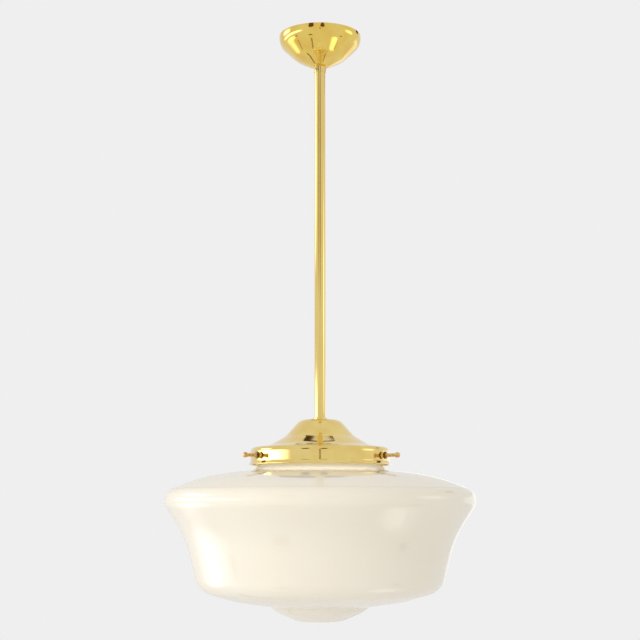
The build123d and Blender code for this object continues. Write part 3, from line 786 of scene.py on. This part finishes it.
clear_glass = make_clear_glass()
black_glass = make_plastic(
    "black_glass", (0.006, 0.006, 0.008), (0.02, 0.02, 0.025), (0.05, 0.16), 300.0, 0.00001
)
phosphor = make_plastic(
    "filament_coat", (0.72, 0.40, 0.04), (0.88, 0.58, 0.10), (0.45, 0.65), 900.0, 0.00004
)
finish_nodes(nickel_plate, "bulb_contact", "bulb_cap")
finish_nodes(black_glass, "bulb_insulator")
finish_nodes(clear_glass, "bulb_glass", "bulb_mount")
finish_nodes(phosphor, "bulb_filaments")


# ---- studio: a pale floor, window and lamp light, and the dark things that brass mirrors ----
# The room is an even pale grey. Brass would look flat in it, so a stand, bars, lamps and boxes
# stand about, which are seen only as reflections.
room_grey = 0.863
floor_height = -2.6
lamp = Vector((0, 0, -0.45))


def bearing(azimuth, distance, height):
    """A place round the lamp. Azimuth 0 is straight in front of it, and 90 is on its right."""
    a = radians(azimuth)
    return Vector((distance * sin(a), -distance * cos(a), height))


def glow(name, colour, strength, soft=None):
    """A surface that lights the room; soft fades it out over its own width and height."""
    material = bpy.data.materials.new(name)
    material.use_nodes = True
    tree = material.node_tree
    tree.nodes.clear()
    light = add_node(tree, "ShaderNodeEmission", (0, 0), in_Strength=strength)
    light.inputs["Color"].default_value = (*colour, 1)
    outlet = add_node(tree, "ShaderNodeOutputMaterial", (400, 0))
    tree.links.new(light.outputs[0], outlet.inputs["Surface"])
    if soft:
        clear = add_node(tree, "ShaderNodeBsdfTransparent", (0, -200))
        both = add_node(tree, "ShaderNodeAddShader", (200, 0))
        tree.links.new(light.outputs[0], both.inputs[0])
        tree.links.new(clear.outputs[0], both.inputs[1])
        tree.links.new(both.outputs[0], outlet.inputs["Surface"])
        place = add_node(tree, "ShaderNodeUVMap", (-1000, 0))
        apart = add_node(tree, "ShaderNodeSeparateXYZ", (-800, 0))
        tree.links.new(place.outputs[0], apart.inputs[0])
        fades = []
        for axis, (start, end) in zip("XY", soft):
            away = maths(tree, "ABSOLUTE", maths(tree, "SUBTRACT", apart.outputs[axis], 0.5))
            fade = add_node(tree, "ShaderNodeMapRange", (-500, 0), interpolation_type="SMOOTHSTEP")
            fade.inputs["From Min"].default_value = start / 2
            fade.inputs["From Max"].default_value = end / 2
            fade.inputs["To Min"].default_value = 1.0
            fade.inputs["To Max"].default_value = 0.0
            tree.links.new(away, fade.inputs["Value"])
            fades.append(fade.outputs["Result"])
        power = maths(tree, "MULTIPLY", maths(tree, "MULTIPLY", fades[0], fades[1]), strength)
        tree.links.new(power, light.inputs["Strength"])
    return material


def staged(name, mesh, material, mirrored=True, lights=False):
    """Puts a card in the room that the camera does not see; it may be mirrored, or light things."""
    mesh.materials.append(material)
    card = bpy.data.objects.new(name, mesh)
    bpy.context.scene.collection.objects.link(card)
    card.visible_camera = False
    card.visible_glossy = mirrored
    card.visible_diffuse = lights
    card.visible_shadow = False
    return card


def screen(name, azimuths, distance, heights, material, mirrored=True, lights=False):
    """An upright curved screen round the lamp between two azimuths and two heights."""
    mesh = bpy.data.meshes.new(name)
    steps = 24
    points, faces, places = [], [], []
    for step in range(steps + 1):
        azimuth = azimuths[0] + (azimuths[1] - azimuths[0]) * step / steps
        for row, height in enumerate(heights):
            points.append(bearing(azimuth, distance, height))
            places.append((step / steps, float(row)))
    for step in range(steps):
        faces.append((2 * step, 2 * step + 2, 2 * step + 3, 2 * step + 1))
    mesh.from_pydata(points, [], faces)
    layer = mesh.uv_layers.new(name="UVMap")
    for loop in mesh.loops:
        layer.data[loop.index].uv = places[loop.vertex_index]
    staged(name, mesh, material, mirrored, lights).visible_transmission = False


def facing(name, middle, width, height, material, corners):
    """A flat shape that faces the lamp: a rectangle, or an oval with more corners."""
    mesh = bpy.data.meshes.new(name)
    turn = (lamp - Vector(middle)).to_track_quat("Z", "Y")
    reach = 2**0.5 / 2 if corners == 4 else 0.5
    points = []
    for corner in range(corners):
        angle = 2 * pi * (corner + 0.5) / corners
        across = Vector((width * cos(angle), height * sin(angle), 0)) * reach
        points.append(Vector(middle) + turn @ across)
    mesh.from_pydata(points, [], [tuple(range(corners))])
    staged(name, mesh, material)


floor = bpy.data.objects.new("floor", bpy.data.meshes.new("floor"))
floor_corners = [(x, y, floor_height) for x, y in ((-80, -80), (80, -80), (80, 80), (-80, 80))]
floor.data.from_pydata(floor_corners, [], [(0, 1, 2, 3)])
floor.data.materials.append(glow("floor_grey", (1, 1, 1), room_grey))
bpy.context.scene.collection.objects.link(floor)
floor.visible_glossy = False
floor.visible_diffuse = False

world = bpy.data.worlds.new("studio")
bpy.context.scene.world = world
world.use_nodes = True
sky = world.node_tree
sky.nodes.clear()
path = add_node(sky, "ShaderNodeLightPath", (-600, 0))
seen_room = add_node(sky, "ShaderNodeBackground", (-300, 100), in_Strength=room_grey)
seen_room.inputs["Color"].default_value = (1, 1, 1, 1)
lit_room = add_node(sky, "ShaderNodeBackground", (-300, -100), in_Strength=0.80)
lit_room.inputs["Color"].default_value = (1.0, 0.985, 0.95, 1)
either = add_node(sky, "ShaderNodeMixShader", (0, 0))
room_out = add_node(sky, "ShaderNodeOutputWorld", (200, 0))
sky.links.new(path.outputs["Is Camera Ray"], either.inputs[0])
sky.links.new(lit_room.outputs[0], either.inputs[1])
sky.links.new(seen_room.outputs[0], either.inputs[2])
sky.links.new(either.outputs[0], room_out.inputs["Surface"])

window = glow("window_glow", (1.0, 1.0, 1.0), 3.4, ((0.3, 1.0), (0.4, 1.0)))
screen("window_band", (-130, -46), 2.4, (-0.72, -0.14), window)
screen("high_window", (-124, -88), 2.4, (0.1, 0.85), window)
low_glow = glow("low_window_glow", (1.0, 1.0, 1.0), 2.0, ((0.0, 1.0), (0.0, 1.0)))
screen("low_window", (-138, -78), 2.2, (-2.1, -0.75), low_glow)
lamp_glow = glow("lamp_glow", (1.0, 0.97, 0.90), 1.3, ((0.1, 1.0), (0.1, 1.0)))
screen("right_high_lamp", (68, 106), 2.3, (-0.45, 0.5), lamp_glow)
screen("right_low_lamp", (56, 104), 1.0, (-2.4, -1.3), lamp_glow)
daylight = glow("daylight", (1.0, 1.0, 0.99), 1.15, ((0.2, 1.0), (0.3, 1.0)))
screen("daylight", (-130, 20), 2.5, (-1.9, 1.5), daylight, False, True)
back_wall = glow("back_wall_glow", (1.0, 1.0, 0.99), 0.30, ((0.9, 1.0), (0.6, 1.0)))
screen("back_wall", (124, 176), 2.6, (-1.0, -0.1), back_wall, True, True)

dark_tone = glow("dark_kit", (0.055, 0.028, 0.010), 1.0)
stand_tone = glow("stand_tone", (0.28, 0.19, 0.08), 1.0)
facing("camera_stand", (0.0, -1.9, -0.25), 0.075, 0.55, stand_tone, 4)
facing("hanger_bar", (-0.03, 0.62, 0.44), 0.46, 0.12, dark_tone, 14)
facing("rear_bar", (-0.03, 1.73, 0.5), 0.34, 0.42, dark_tone, 14)
brown_tone = glow("brown_kit", (0.15, 0.075, 0.022), 1.0)
workroom = (
    ("tripod_head", (-0.89, 0.91, -2.11), 0.66, 0.12),
    ("lamp_head", (-0.73, -0.51, -2.32), 0.30, 0.06),
    ("trolley", (-0.55, 1.10, -2.16), 0.50, 0.07),
    ("hood_edge", (-0.89, -1.17, -1.97), 0.44, 0.34),
    ("chair_back", (0.27, -2.28, 0.42), 0.50, 0.85),
    ("door_edge", (1.66, 1.30, 0.73), 0.60, 0.27),
    ("first_box", (1.75, -0.38, -1.65), 0.28, 0.26),
    ("second_box", (1.21, -0.20, -2.15), 0.18, 0.06),
    ("third_box", (1.39, 0.04, -2.04), 0.42, 0.05),
    ("fourth_box", (0.41, 0.77, -2.33), 0.18, 0.06),
    ("fifth_box", (-1.97, -0.29, -1.35), 0.28, 0.30),
    ("sixth_box", (-1.57, 0.34, -1.85), 0.20, 0.05),
    ("ring_lamp", (-0.95, -2.09, 0.52), 0.60, 0.95),
)
for name, middle, width, height in workroom:
    facing(name, middle, width, height, brown_tone, 12)

# Light that enters the opal glass all round comes out again at its shaded neck.
neck_tone = glow("neck_glow", (0.95, 0.93, 0.82), 2.0)
screen("neck_light", (-180, 180), 0.0785, (-0.521, -0.5155), neck_tone, False, True)

bpy.context.scene.view_settings.view_transform = "Standard"
